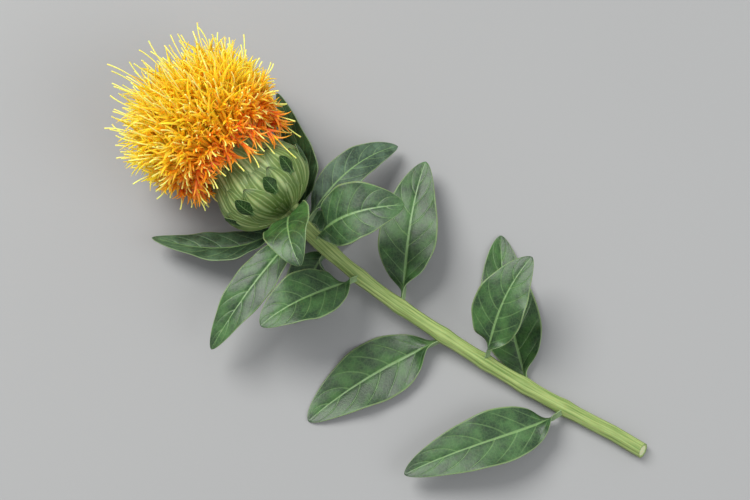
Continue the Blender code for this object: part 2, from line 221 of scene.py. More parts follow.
def attribute(tree, name):
    return add_node(tree, "ShaderNodeAttribute", attribute_name=name).outputs["Fac"]


# %% [markdown]
# Meshes are made from plain lists of points and faces. `new_piece` makes the object, turns every face outwards
# and shades it smooth. `grown` runs an object's Geometry Nodes once, keeps the result as a plain mesh and takes
# the modifier away, because a finished piece is only its mesh.

# %% Mesh helpers
def new_piece(name, points, faces, materials=(), uv=None, slots=None):
    mesh = bpy.data.meshes.new(name)
    mesh.from_pydata([tuple(p) for p in points], [], faces)
    for material in materials:
        mesh.materials.append(material)
    if slots is not None:
        mesh.polygons.foreach_set("material_index", slots)
    if uv is not None:
        layer = mesh.uv_layers.new(name="UVMap")
        for loop in mesh.loops:
            layer.data[loop.index].uv = uv[loop.vertex_index]
    shape = bmesh.new()
    shape.from_mesh(mesh)
    bmesh.ops.recalc_face_normals(shape, faces=shape.faces)
    shape.to_mesh(mesh)
    shape.free()
    mesh.shade_smooth()
    piece = bpy.data.objects.new(name, mesh)
    bpy.context.scene.collection.objects.link(piece)
    return piece


def grown(piece, tree, **values):
    """Runs a Geometry Nodes tree on the piece with these named inputs, and keeps the mesh that it makes."""
    modifier = piece.modifiers.new("grow", "NODES")
    modifier.node_group = tree
    for item in tree.interface.items_tree:
        name = item.name.replace(" ", "_").lower()
        if item.item_type == "SOCKET" and item.in_out == "INPUT" and name in values:
            modifier[item.identifier] = values[name]
    evaluated = piece.evaluated_get(bpy.context.evaluated_depsgraph_get())
    mesh = bpy.data.meshes.new_from_object(evaluated)
    piece.modifiers.clear()
    piece.data = mesh
    return piece


def new_tree(name, inputs):
    """A Geometry Nodes tree with a geometry input, these named inputs (name, kind, value) and one output."""
    tree = bpy.data.node_groups.new(name, "GeometryNodeTree")
    tree.interface.new_socket(name="Geometry", in_out="INPUT", socket_type="NodeSocketGeometry")
    for title, kind, value in inputs:
        socket = tree.interface.new_socket(name=title, in_out="INPUT", socket_type="NodeSocket" + kind)
        if value is not None:
            socket.default_value = value
    tree.interface.new_socket(name="Geometry", in_out="OUTPUT", socket_type="NodeSocketGeometry")
    return tree, add_node(tree, "NodeGroupInput")


def close_tree(tree, geometry, material):
    """Ends a tree as every tree here ends: copies made real, a finish set, shaded smooth."""
    real = add_node(tree, "GeometryNodeRealizeInstances", {"Geometry": geometry}).outputs[0]
    smooth = add_node(tree, "GeometryNodeSetShadeSmooth", {"Geometry": real}).outputs[0]
    done = add_node(tree, "GeometryNodeSetMaterial", {"Geometry": smooth, "Material": material}).outputs[0]
    add_node(tree, "NodeGroupOutput", {"Geometry": done})


def triangles(piece):
    return sum(len(p.vertices) - 2 for p in piece.data.polygons)


# %% [markdown]
# ## The stem
# The real stem is a slim, pale green rod with fine ribs that run its whole length, slightly swollen where each
# leaf grows. A lofted tube would do, but a sweep says more plainly what it is: a ribbed outline drawn along a
# path. Geometry Nodes does that with Curve to Mesh. The path's points carry their own girth, and the outline is
# a circle whose points move in and out with a cosine, one wave a rib.

# %% The leaves' table, which the stem needs for its swellings
LEAVES = (
    ("leaf_head_right_front", 1.2, -38, -34, ((0.0, 9.0), (9.5, 16.0), (27.5, 24.6)), 10.0, 0.30, 0.0),
    ("leaf_head_left_front", 1.2, 208, 200, ((0.0, 11.0), (7.0, 20.0), (22.0, 28.5)), 11.0, 0.50, 0.0),
    ("leaf_head_top", 1.5, 98, 116, ((1.0, 9.0), (0.0, 19.0), (-11.0, 22.0)), 14.0, 0.35, 0.0),
    ("leaf_head_right", 5.0, 0, -4, ((2.5, 9.0), (3.5, 22.0), (-2.0, 32.5)), 10.5, 0.85, 5.0),
    ("leaf_head_left", 5.5, 160, 172, ((0.0, 11.0), (-1.0, 25.0), (-4.2, 38.0)), 11.0, 0.80, 6.0),
    ("leaf_under_right", 6.0, 275, 305, ((0.0, 4.0), (-6.0, 14.0), (-14.0, 26.0)), 12.0, 0.90, 0.0),
    ("leaf_stem_1", 10.0, 68, 44, ((1.0, 8.0), (-2.0, 17.0), (-10.0, 25.0)), 17.0, 0.85, 4.0),
    ("leaf_under_left", 14.0, 235, 222, ((0.0, 4.0), (-2.0, 13.0), (-8.0, 24.0)), 13.0, 0.90, 0.0),
    ("leaf_stem_2", 24.0, 140, 155, ((3.0, 8.0), (10.0, 18.0), (12.0, 28.0)), 15.0, 0.80, 6.0),
    ("leaf_stem_3", 37.0, 0, 5, ((4.0, 8.0), (12.0, 20.0), (16.0, 35.0)), 16.0, 0.80, 6.0),
    ("leaf_stem_4", 51.0, 210, 200, ((4.0, 7.0), (12.0, 22.0), (16.0, 38.0)), 17.0, 0.85, 2.0),
    ("leaf_stem_5", 64.0, 48, 34, ((2.0, 7.0), (6.0, 18.0), (4.0, 31.0)), 15.0, 0.75, 6.0),
    ("leaf_stem_6", 76.0, 325, 335, ((4.0, 6.0), (16.0, 18.0), (24.0, 34.0)), 16.0, 0.90, 2.0),
    ("leaf_stem_7", 88.0, 160, 170, ((4.0, 8.0), (18.0, 20.0), (28.0, 34.0)), 15.0, 0.85, 4.0),
)
print("leaves:", len(LEAVES))

# %% The sweep tree
def named(tree, name, kind="FLOAT"):
    return add_node(tree, "GeometryNodeInputNamedAttribute", {"Name": name}, data_type=kind).outputs[0]


def store(tree, geometry, name, value, kind="FLOAT"):
    node = add_node(tree, "GeometryNodeStoreNamedAttribute", {"Geometry": geometry, "Name": name}, data_type=kind)
    tree.links.new(value, next(s for s in node.inputs if s.enabled and s.name == "Value"))
    return node.outputs[0]


def sweep_tree():
    tree, given = new_tree("ribbed_sweep", (
        ("Sides", "Int", 72), ("Ribs", "Int", 9), ("Rib height", "Float", 0.03), ("Material", "Material", None)))
    path = add_node(tree, "GeometryNodeMeshToCurve", {"Mesh": given.outputs["Geometry"]}).outputs[0]
    ring = add_node(tree, "GeometryNodeCurvePrimitiveCircle",
                    {"Resolution": given.outputs["Sides"], "Radius": 1.0}).outputs[0]
    place = add_node(tree, "GeometryNodeInputPosition").outputs[0]
    ring = store(tree, ring, "ring", place, "FLOAT_VECTOR")
    turn = add_node(tree, "GeometryNodeSplineParameter").outputs["Factor"]
    angle = calc(tree, "MULTIPLY", calc(tree, "MULTIPLY", turn, 2 * math.pi), given.outputs["Ribs"])
    height = calc(tree, "MULTIPLY_ADD", calc(tree, "COSINE", angle), given.outputs["Rib height"], 1.0)
    ribbed = add_node(tree, "ShaderNodeVectorMath", {0: place, "Scale": height}, operation="SCALE").outputs[0]
    ring = add_node(tree, "GeometryNodeSetPosition", {"Geometry": ring, "Position": ribbed}).outputs[0]
    rod = add_node(tree, "GeometryNodeCurveToMesh",
                   {"Curve": path, "Profile Curve": ring, "Scale": named(tree, "girth"), "Fill Caps": True})
    close_tree(tree, rod.outputs[0], given.outputs["Material"])
    return tree


# %% [markdown]
# The stem's finish is a pale yellow green with fine lengthwise streaks. The sweep stored each point's place on
# the outline as the attribute `ring`, so a noise that reads `ring` and only a little of the length draws
# streaks that follow the stem round its bends, with no seam. The cut end shows a green rind and a pale pith.

# %% Stem finishes
STEM_LIGHT = paint(150, 168, 100)
STEM_DEEP = paint(94, 122, 54)
PITH = paint(204, 208, 164)


def stem_finish():
    material, tree, shader = new_finish("stem_skin", 0.5, Subsurface_Weight=0.08, Subsurface_Scale=0.002)
    ring = add_node(tree, "ShaderNodeAttribute", attribute_name="ring").outputs["Vector"]
    along = add_node(tree, "ShaderNodeCombineXYZ", {"Z": calc(tree, "MULTIPLY", attribute(tree, "along"), 1.6)})
    lanes = add_node(tree, "ShaderNodeVectorMath", {0: ring, 1: along.outputs[0]}, operation="ADD").outputs[0]
    streak = noise(tree, 0.22, 3.0, 0.55, vector=lanes)
    patches = noise(tree, 7 * MM, 2.0)
    colour = blend(tree, between(tree, streak, 0.3, 0.62), STEM_DEEP, STEM_LIGHT)
    colour = blend(tree, between(tree, patches, 0.5, 0.8, 0.0, 0.45), colour, STEM_DEEP)
    tree.links.new(colour, shader.inputs["Base Color"])
    tree.links.new(between(tree, patches, 0.3, 0.7, 0.42, 0.58), shader.inputs["Roughness"])
    bumped(tree, shader, streak, 0.12 * MM, 0.6)
    return material


def cut_finish():
    material, tree, shader = new_finish("stem_cut", 0.6, Subsurface_Weight=0.15, Subsurface_Scale=0.002)
    radial = attribute(tree, "radial")
    pores = noise(tree, 0.25 * MM, 2.0)
    colour = blend(tree, between(tree, radial, 0.62, 0.74), PITH, STEM_LIGHT)
    colour = blend(tree, between(tree, radial, 0.86, 0.95), colour, STEM_DEEP)
    colour = blend(tree, between(tree, pores, 0.45, 0.7, 0.0, 0.25), colour, STEM_LIGHT)
    tree.links.new(colour, shader.inputs["Base Color"])
    bumped(tree, shader, pores, 0.1 * MM, 0.5)
    return material


# %% The stem
STEM_RINGS = 170
RIB_COUNT = 9
RIB_HEIGHT = 0.035
NODE_SWELL = 0.14
NODE_LENGTH = 2.2 * MM


def node_swelling(y):
    """How much the stem thickens at y: a small bulge just below each leaf."""
    total = 0.0
    for row in LEAVES:
        away = (y - (STEM_LENGTH - row[1] * MM - 0.8 * MM)) / NODE_LENGTH
        total += math.exp(-away * away)
    return min(total, 1.0) * NODE_SWELL


def make_stem():
    places = [(STEM_LENGTH + 0.8 * MM) * i / (STEM_RINGS - 1) for i in range(STEM_RINGS)]
    path = bpy.data.meshes.new("stem_path")
    path.from_pydata([stem_axis(y) for y in places], [(i, i + 1) for i in range(STEM_RINGS - 1)], [])
    girth = path.attributes.new("girth", "FLOAT", "POINT")
    along = path.attributes.new("along", "FLOAT", "POINT")
    girth.data.foreach_set("value", [stem_radius(y) * (1.0 + node_swelling(y)) for y in places])
    along.data.foreach_set("value", [y / STEM_LENGTH for y in places])
    stem = bpy.data.objects.new("stem_skin", path)
    bpy.context.scene.collection.objects.link(stem)
    return grown(stem, sweep_tree(), ribs=RIB_COUNT, rib_height=RIB_HEIGHT, material=stem_finish())


stem = make_stem()
print("stem:", triangles(stem), "triangles")

# %% The cut end
CUT_RINGS = 6


def finish_cut(stem):
    """Slants the cut end, flattens the stem's underside on the table and lays a face of rings in the cut."""
    mesh = stem.data
    start = stem_axis(0.0)
    for v in mesh.vertices:
        slanted = max(0.0, 1.0 - (v.co.y - start.y) / STEM_FLAT_RUN)
        v.co.y += STEM_CUT_SLANT * slanted * (v.co.z - start.z) / STEM_RADIUS
        v.co.z = max(v.co.z, 0.0)
    shape = bmesh.new()
    shape.from_mesh(mesh)
    shape.faces.ensure_lookup_table()
    cap = max((f for f in shape.faces if len(f.verts) > 4), key=lambda f: -f.calc_center_median().y)
    rim = [v.co.copy() for v in cap.verts]
    centre = cap.calc_center_median()
    bmesh.ops.delete(shape, geom=[cap], context="FACES_ONLY")
    shape.to_mesh(mesh)
    shape.free()
    points, faces, radial = [], [], []
    count = len(rim)
    for i in range(CUT_RINGS + 1):
        share = i / CUT_RINGS
        for p in rim:
            points.append(p.lerp(centre, share * 0.98) + Vector((0.0, 0.12 * MM * math.sin(math.pi * share), 0.0)))
            radial.append(1.0 - share)
    for i in range(CUT_RINGS):
        for k in range(count):
            a, b = i * count + k, i * count + (k + 1) % count
            faces.append((a, b, b + count, a + count))
    faces.append(tuple(range(CUT_RINGS * count, (CUT_RINGS + 1) * count)))
    face = new_piece("stem_cut", points, faces, [cut_finish()])
    layer = face.data.attributes.new("radial", "FLOAT", "POINT")
    layer.data.foreach_set("value", radial)
    return face


cut = finish_cut(stem)
print("cut end:", triangles(cut), "triangles")

# %% [markdown]
# ## The globe of bracts
# Under the florets sits the involucre: a globe of pale green bracts that overlap like roof tiles, in rows that
# are staggered by half a bract. Its core is a surface of revolution, made from the same profile as the solid.

# %% The globe's profile
INVOLUCRE_LENGTH = 20.5 * MM
INVOLUCRE_RADIUS = 12.6 * MM
INVOLUCRE_FOOT_RADIUS = 2.9 * MM
INVOLUCRE_WIDEST_AT = 0.45
INVOLUCRE_FOOT_FULLNESS = 0.62
NECK_RADIUS = 8.8 * MM


def involucre_radius(s):
    u = min(max(s / INVOLUCRE_LENGTH, 0.0), 1.0)
    if u < INVOLUCRE_WIDEST_AT:
        swell = math.sin(math.pi / 2 * (u / INVOLUCRE_WIDEST_AT) ** INVOLUCRE_FOOT_FULLNESS)
        return INVOLUCRE_FOOT_RADIUS + (INVOLUCRE_RADIUS - INVOLUCRE_FOOT_RADIUS) * swell
    close = (1.0 + math.cos(math.pi * (u - INVOLUCRE_WIDEST_AT) / (1.0 - INVOLUCRE_WIDEST_AT))) / 2
    return NECK_RADIUS + (INVOLUCRE_RADIUS - NECK_RADIUS) * close


def in_head(s, out, azimuth):
    """A point in the head's own frame, whose z runs up the head's axis."""
    return Vector((out * math.cos(azimuth), out * math.sin(azimuth), s))


# %% [markdown]
# The bracts' finish reads the bract's own UV map: u runs across it and v from its foot to its tip. Seven pale
# veins run lengthwise and draw together at the tip, the middle one widest, on a fresh green that deepens to the
# tip. A thin papery edge is as pale as the veins.

# %% Bract finish
BRACT_GREEN = paint(92, 116, 50)
BRACT_DEEP = paint(58, 84, 32)
BRACT_PALE = paint(158, 174, 112)
BRACT_TIP = paint(46, 52, 22)


def bract_finish():
    material, tree, shader = new_finish("bract_skin", 0.52, Subsurface_Weight=0.12, Subsurface_Scale=0.003)
    uv = add_node(tree, "ShaderNodeUVMap", uv_map="UVMap").outputs[0]
    axes = add_node(tree, "ShaderNodeSeparateXYZ", {"Vector": uv})
    across, up = axes.outputs[0], axes.outputs[1]
    wobble = calc(tree, "MULTIPLY", calc(tree, "SUBTRACT", noise(tree, 2.5 * MM), 0.5), 0.05)
    lane = calc(tree, "MULTIPLY", calc(tree, "ADD", across, wobble), 7.0)
    vein = calc(tree, "ABSOLUTE", calc(tree, "SUBTRACT", calc(tree, "FRACT", lane), 0.5))
    side = calc(tree, "ABSOLUTE", calc(tree, "SUBTRACT", across, 0.5))
    stripe = between(tree, vein, 0.05, 0.2, 1.0, 0.0)
    middle = between(tree, side, 0.02, 0.08, 1.0, 0.0)
    pale = calc(tree, "MAXIMUM", calc(tree, "MULTIPLY", stripe, 0.62), middle)
    edge = between(tree, side, 0.43, 0.49)
    colour = blend(tree, between(tree, up, 0.55, 1.0, 0.0, 0.85), BRACT_GREEN, BRACT_DEEP)
    colour = blend(tree, calc(tree, "MULTIPLY", pale, between(tree, up, 0.35, 0.98, 0.95, 0.35)), colour, BRACT_PALE)
    colour = blend(tree, calc(tree, "MULTIPLY", edge, 0.75), colour, BRACT_PALE)
    patches = noise(tree, 5 * MM, 3.0)
    colour = blend(tree, between(tree, patches, 0.4, 0.75, 0.0, 0.35), colour, BRACT_DEEP)
    colour = blend(tree, between(tree, up, 0.93, 0.985, 0.0, 0.8), colour, BRACT_TIP)
    tree.links.new(colour, shader.inputs["Base Color"])
    tree.links.new(between(tree, patches, 0.3, 0.7, 0.45, 0.6), shader.inputs["Roughness"])
    bumped(tree, shader, pale, 0.12 * MM, 0.5)
    return material


bract_skin = bract_finish()

# %% The globe
GLOBE_SIDES = 64
GLOBE_RINGS = 30


def make_globe():
    points, faces, uv = [], [], []
    for i in range(GLOBE_RINGS):
        share = i / (GLOBE_RINGS - 1)
        s = INVOLUCRE_LENGTH * share ** 1.25
        for k in range(GLOBE_SIDES):
            points.append(HEAD_MATRIX @ in_head(s, involucre_radius(s), 2 * math.pi * k / GLOBE_SIDES))
            uv.append((9.0 * k / GLOBE_SIDES % 1.0, share))
    for i in range(GLOBE_RINGS - 1):
        for k in range(GLOBE_SIDES):
            a, b = i * GLOBE_SIDES + k, i * GLOBE_SIDES + (k + 1) % GLOBE_SIDES
            faces.append((a, b, b + GLOBE_SIDES, a + GLOBE_SIDES))
    faces.append(tuple(range(GLOBE_SIDES)))
    faces.append(tuple(range(len(points) - GLOBE_SIDES, len(points))))
    return new_piece("involucre_globe", points, faces, [bract_skin], uv)


globe = make_globe()
print("globe:", triangles(globe), "triangles")

# %% [markdown]
# One bract of each row is modelled: a thin shell that follows the globe's profile, widest below its
# middle, with raised veins and a tip that stands free. Repeating it round the axis is work for Geometry Nodes:
# the tree puts a count of copies on points, turns each by an equal step and a little chance, and realises them.
# The order of chance is fixed by the seed, so every run grows the same flower.

# %% A tree that sets copies round an axis
def ring_tree():
    tree, given = new_tree("ring_of_copies", (
        ("Count", "Int", 9), ("Phase", "Float", 0.0), ("Turn chance", "Float", 0.03), ("Swell", "Float", 0.02),
        ("Seed", "Int", 1), ("Material", "Material", None)))
    points = add_node(tree, "GeometryNodePoints", {"Count": given.outputs["Count"]}).outputs[0]
    index = add_node(tree, "GeometryNodeInputIndex").outputs[0]
    chance = add_node(tree, "FunctionNodeRandomValue",
                      {"Min": -1.0, "Max": 1.0, "Seed": given.outputs["Seed"]}, data_type="FLOAT").outputs[1]
    turn = calc(tree, "DIVIDE", calc(tree, "MULTIPLY", index, 2 * math.pi), given.outputs["Count"])
    turn = calc(tree, "ADD", turn, given.outputs["Phase"])
    turn = calc(tree, "ADD", turn, calc(tree, "MULTIPLY", chance, given.outputs["Turn chance"]))
    euler = add_node(tree, "ShaderNodeCombineXYZ", {"Z": turn}).outputs[0]
    swell = calc(tree, "MULTIPLY_ADD", calc(tree, "ABSOLUTE", chance), given.outputs["Swell"], 1.0)
    copies = add_node(tree, "GeometryNodeInstanceOnPoints",
                      {"Points": points, "Instance": given.outputs["Geometry"], "Rotation": euler, "Scale": swell})
    close_tree(tree, copies.outputs[0], given.outputs["Material"])
    return tree


# %% The bracts
# One row an entry: where it starts, how long and how wide a bract is (mm), how far its tip stands off (mm),
# how many there are and how many half steps the row is turned
BRACT_ROWS = (
    (0.8, 6.5, 7.0, 0.35, 7, 1), (2.5, 9.0, 9.0, 0.55, 9, 0), (6.0, 9.5, 9.0, 0.65, 9, 1),
    (9.5, 9.5, 8.6, 0.70, 9, 0), (13.0, 9.0, 7.4, 0.75, 9, 1), (15.5, 8.6, 5.4, 0.9, 11, 0),
)
BRACT_STATIONS = 22
BRACT_COLUMNS = 13
BRACT_THICKNESS = 0.3 * MM
BRACT_FOOT_RISE = 0.02 * MM
BRACT_CROWN = 0.4 * MM
VEIN_RISE = 0.05 * MM


def shell(top, bottom, columns):
    """The faces of a thin closed plate between two grids of points, the top one first."""
    rows, gap, faces = len(top) // columns, len(top), []
    for i in range(rows - 1):
        for j in range(columns - 1):
            a, b = i * columns + j, i * columns + j + 1
            faces.append((a, b, b + columns, a + columns))
    upper = len(faces)
    faces += [tuple(v + gap for v in reversed(f)) for f in faces]
    lower = len(faces)
    left = [i * columns for i in range(rows)]
    far = [(rows - 1) * columns + j for j in range(1, columns - 1)]
    right = [i * columns + columns - 1 for i in reversed(range(rows))]
    rim = left + far + right + list(reversed(range(1, columns - 1)))
    for a, b in zip(rim, rim[1:] + rim[:1]):
        faces.append((a, b, b + gap, a + gap))
    return faces, upper, lower


def bract_half_width(t, width):
    """A bract is widest below its middle and ends in a fine point."""
    return width / 2 * max(math.sin(math.pi * (0.22 + 0.78 * min(t, 0.985))), 0.0) ** 0.8 + 0.06 * MM


def make_bract(start, length, width, tip_rise):
    top, bottom, uv = [], [], []
    for i in range(BRACT_STATIONS):
        t = i / (BRACT_STATIONS - 1)
        s = start + length * t
        surface = involucre_radius(s)
        half_angle = bract_half_width(t, width) / surface
        rise = BRACT_FOOT_RISE + (tip_rise - BRACT_FOOT_RISE) * t ** 1.6
        for j in range(BRACT_COLUMNS):
            across = 2.0 * j / (BRACT_COLUMNS - 1) - 1.0
            crown = BRACT_CROWN * (1.0 - across ** 2) * math.sin(math.pi * min(t + 0.1, 1.0)) ** 0.5
            vein = VEIN_RISE * (0.5 + 0.5 * math.cos(2 * math.pi * 3.5 * across))
            out = surface + rise + crown + vein
            top.append(in_head(s, out + BRACT_THICKNESS * (1 - 0.6 * abs(across)), half_angle * across))
            bottom.append(in_head(s, out - vein, half_angle * across))
            uv.append(((across + 1.0) / 2, t))
    faces, upper, lower = shell(top, bottom, BRACT_COLUMNS)
    return new_piece("one_bract", top + bottom, faces, [bract_skin], uv + uv)


def joined(name, pieces):
    """One object from several, with their places kept."""
    shape = bmesh.new()
    materials = []
    for piece in pieces:
        offset = len(shape.faces)
        shape.from_mesh(piece.data)
        shape.faces.ensure_lookup_table()
        for face in shape.faces[offset:]:
            material = piece.data.materials[face.material_index]
            if material not in materials:
                materials.append(material)
            face.material_index = materials.index(material)
    mesh = bpy.data.meshes.new(name)
    shape.to_mesh(mesh)
    shape.free()
    for material in materials:
        mesh.materials.append(material)
    for piece in pieces:
        bpy.data.objects.remove(piece)
    result = bpy.data.objects.new(name, mesh)
    bpy.context.scene.collection.objects.link(result)
    return result


def make_bracts():
    tree = ring_tree()
    rows = []
    for number, (start, length, width, rise, count, half_turns) in enumerate(BRACT_ROWS):
        bract = make_bract(start * MM, length * MM, width * MM, rise * MM)
        phase = math.pi * half_turns / count
        rows.append(grown(bract, tree, count=count, phase=phase, turn_chance=0.035, swell=0.025,
                          seed=number + 3, material=bract_skin))
    bracts = joined("bracts", rows)
    bracts.data.transform(HEAD_MATRIX)
    return bracts


bracts = make_bracts()
print("bracts:", triangles(bracts), "triangles in", len(BRACT_ROWS), "rows")

# %% [markdown]
# ## The small green blades on the globe
# Some outer bracts end in a little leaf: an oval, dark green blade that bends outwards and then lies along the
# globe. Six of them stand round it. Each is a thin cupped shell on a grid of points, and its finish is that of
# the leaves in darker greens, so the leaves' shape and finish come first.

# %% A leaf's outline and relief
BLADE_THICKNESS = 0.7 * MM
BLADE_FOOT_FULLNESS = 1.25
BLADE_TIP_FULLNESS = 0.62
STALK_HALF_WIDTH = 1.25 * MM
BLADE_TIP_HALF_WIDTH = 0.15 * MM
TIP_CROWDING = 1.4
VEIN_PAIRS = 7
VEIN_SWEEP = 0.22
VEIN_BEND = 1.35


def blade_half_width(t, width):
    """Half of an oval blade's width at t of its length, from a short stalk to a blunt tip."""
    t = min(max(t, 0.0), 0.999)
    fullness = BLADE_FOOT_FULLNESS + (BLADE_TIP_FULLNESS - BLADE_FOOT_FULLNESS) * t
    blade = width / 2 * math.sin(math.pi * t) ** fullness
    stalk = min(STALK_HALF_WIDTH, width / 4) * (1.0 - t)
    return max(math.hypot(blade, stalk), BLADE_TIP_HALF_WIDTH)


def side_vein(t, across):
    """1 on a side vein and 0 away from it. The veins leave the midrib in turn and sweep forward."""
    side = abs(across)
    lane = VEIN_PAIRS * (t - VEIN_SWEEP * side ** VEIN_BEND) + (0.5 if across > 0 else 0.0)
    away = abs(lane - math.floor(lane) - 0.5)
    return math.exp(-(away / 0.1) ** 2) * (1.0 - side ** 4)


# %% [markdown]
# A safflower leaf is smooth and a little waxy: dark blue green under a grey bloom near the head, fresher and
# glossier further down, with a pale midrib, curved side veins, a fine net between them and a thin pale edge. The
# veins are the same formula in the mesh and in the shader, here on the leaf's UV map. How much bloom a leaf has
# is an attribute, so one finish serves them all. The underside is paler and duller, with veins that stand out.

# %% Leaf finishes
LEAF_FRESH_DEEP = paint(24, 54, 20)
LEAF_FRESH = paint(50, 94, 28)
LEAF_BLOOM_DEEP = paint(30, 52, 36)
LEAF_BLOOM = paint(78, 102, 80)
LEAF_UNDER = paint(86, 114, 80)
LEAF_VEIN = paint(116, 150, 92)
LEAF_EDGE = paint(136, 160, 106)
SMALL_BLADE_DEEP = paint(18, 40, 12)
SMALL_BLADE_GREEN = paint(34, 64, 18)
NET_SIZE = 0.95 * MM


def leaf_masks(tree):
    """Masks on the leaf's UV map: the midrib with the stalk, the side veins, the net and the edge."""
    uv = add_node(tree, "ShaderNodeUVMap", uv_map="UVMap").outputs[0]
    axes = add_node(tree, "ShaderNodeSeparateXYZ", {"Vector": uv})
    signed = calc(tree, "MULTIPLY_ADD", axes.outputs[0], 2.0, -1.0)
    along = axes.outputs[1]
    side = calc(tree, "ABSOLUTE", signed)
    midrib_width = calc(tree, "MULTIPLY_ADD", calc(tree, "POWER", calc(tree, "SUBTRACT", 1.0, along), 3.0), 0.13, 0.04)
    midrib = between(tree, side, calc(tree, "MULTIPLY", midrib_width, 0.3), midrib_width, 1.0, 0.0)
    swept = calc(tree, "SUBTRACT", along, calc(tree, "MULTIPLY", calc(tree, "POWER", side, VEIN_BEND), VEIN_SWEEP))
    half_step = calc(tree, "MULTIPLY", calc(tree, "GREATER_THAN", signed, 0.0), 0.5)
    lane = calc(tree, "MULTIPLY_ADD", swept, float(VEIN_PAIRS), half_step)
    away = calc(tree, "ABSOLUTE", calc(tree, "SUBTRACT", calc(tree, "FRACT", lane), 0.5))
    wander = calc(tree, "MULTIPLY_ADD", noise(tree, 2.0 * MM), 0.06, -0.03)
    vein = between(tree, calc(tree, "ADD", away, wander), 0.015, 0.075, 1.0, 0.0)
    vein = calc(tree, "MULTIPLY", vein, between(tree, side, 0.7, 0.97, 1.0, 0.0))
    place = add_node(tree, "ShaderNodeTexCoord").outputs["Object"]
    cells = add_node(tree, "ShaderNodeTexVoronoi", {"Vector": place, "Scale": 1.0 / NET_SIZE},
                     feature="DISTANCE_TO_EDGE").outputs["Distance"]
    net = between(tree, cells, 0.0, 0.16, 1.0, 0.0)
    stalk = between(tree, along, 0.0, 0.16, 0.6, 0.0)
    return calc(tree, "MAXIMUM", midrib, stalk), vein, net, between(tree, side, 0.93, 0.985)


def leaf_finish(name, deep, fresh_green, shine):
    """The upper face of a leaf: these two greens where it is fresh, and the grey bloom where the leaf has it, flecked
    with pale specks that are partly the wax's own mottling and partly painted glints of light.
    """
    material, tree, shader = new_finish(name, 0.42, Specular_IOR_Level=shine, Subsurface_Weight=0.05,
                                        Subsurface_Scale=0.001)
    midrib, vein, net, edge = leaf_masks(tree)
    bloom = attribute(tree, "bloom")
    patches = noise(tree, 5 * MM, 4.0, 0.6)
    glint_specks = noise(tree, 0.9 * MM, 3.0, 0.7)
    fresh = blend(tree, between(tree, patches, 0.35, 0.7), deep, fresh_green)
    bloom_and_glints = blend(tree, between(tree, patches, 0.35, 0.72), LEAF_BLOOM_DEEP, LEAF_BLOOM)
    # pale specks on the bloom: partly the wax's own mottling, partly painted glints of light on it
    bloom_and_glints = blend(tree, between(tree, glint_specks, 0.45, 0.75, 0.0, 0.5), bloom_and_glints, LEAF_BLOOM)
    colour = blend(tree, bloom, fresh, bloom_and_glints)
    colour = blend(tree, calc(tree, "MULTIPLY", net, 0.09), colour, LEAF_VEIN)
    colour = blend(tree, calc(tree, "MULTIPLY", vein, 0.3), colour, LEAF_VEIN)
    colour = blend(tree, calc(tree, "MULTIPLY", midrib, 0.75), colour, LEAF_VEIN)
    colour = blend(tree, calc(tree, "MULTIPLY", edge, 0.6), colour, LEAF_EDGE)
    tree.links.new(colour, shader.inputs["Base Color"])
    gloss = calc(tree, "MULTIPLY_ADD", bloom, 0.14, 0.34)
    tree.links.new(calc(tree, "MULTIPLY_ADD", patches, 0.12, gloss), shader.inputs["Roughness"])
    relief = calc(tree, "SUBTRACT", calc(tree, "MULTIPLY", glint_specks, 0.35),
                  calc(tree, "ADD", calc(tree, "MULTIPLY", net, 0.2), vein))
    bumped(tree, shader, relief, 0.1 * MM, 0.55)
    return material


def underside_finish():
    material, tree, shader = new_finish("leaf_underside", 0.55, Subsurface_Weight=0.05, Subsurface_Scale=0.001)
    midrib, vein, net, edge = leaf_masks(tree)
    patches = noise(tree, 4 * MM, 3.0, 0.6)
    colour = blend(tree, between(tree, patches, 0.35, 0.7), LEAF_BLOOM, LEAF_UNDER)
    colour = blend(tree, calc(tree, "MULTIPLY", net, 0.15), colour, LEAF_BLOOM_DEEP)
    colour = blend(tree, calc(tree, "MULTIPLY", vein, 0.5), colour, LEAF_VEIN)
    colour = blend(tree, calc(tree, "MULTIPLY", midrib, 0.9), colour, LEAF_EDGE)
    colour = blend(tree, calc(tree, "MULTIPLY", edge, 0.5), colour, LEAF_EDGE)
    tree.links.new(colour, shader.inputs["Base Color"])
    bumped(tree, shader, calc(tree, "MULTIPLY_ADD", net, 0.3, vein), 0.15 * MM, 0.6)
    return material


leaf_upper = leaf_finish("leaf_upper", LEAF_FRESH_DEEP, LEAF_FRESH, 0.45)
small_blade_skin = leaf_finish("small_blade_skin", SMALL_BLADE_DEEP, SMALL_BLADE_GREEN, 0.15)
leaf_underside = underside_finish()

# %% The small blades
TIP_AZIMUTHS = (-8, 24, 60, 95, 132, 168)
TIP_START = 6.2 * MM
TIP_LENGTH = 5.6 * MM
TIP_WIDTH = 4.2 * MM
TIP_FOOT_RISE = 0.95 * MM
TIP_RISE = 1.9 * MM
TIP_CUP = 0.35 * MM
TIP_STRAY = 4.0
TIP_UNEVEN = 1.0 * MM
TIP_THICKNESS = 0.35 * MM
TIP_STATIONS = 24
TIP_COLUMNS = 13


def give_number(piece, name, value):
    """Stores one number on every point of the piece, for its finish to read."""
    layer = piece.data.attributes.new(name, "FLOAT", "POINT")
    layer.data.foreach_set("value", [value] * len(piece.data.vertices))


def blade_piece(name, top, bottom, columns, uv, bloom, skins):
    """A thin shell with the first finish on its upper face and the last one on the rest."""
    faces, upper, lower = shell(top, bottom, columns)
    slots = [0] * upper + [len(skins) - 1] * (len(faces) - upper)
    piece = new_piece(name, top + bottom, faces, skins, uv + uv, slots)
    give_number(piece, "bloom", bloom)
    return piece


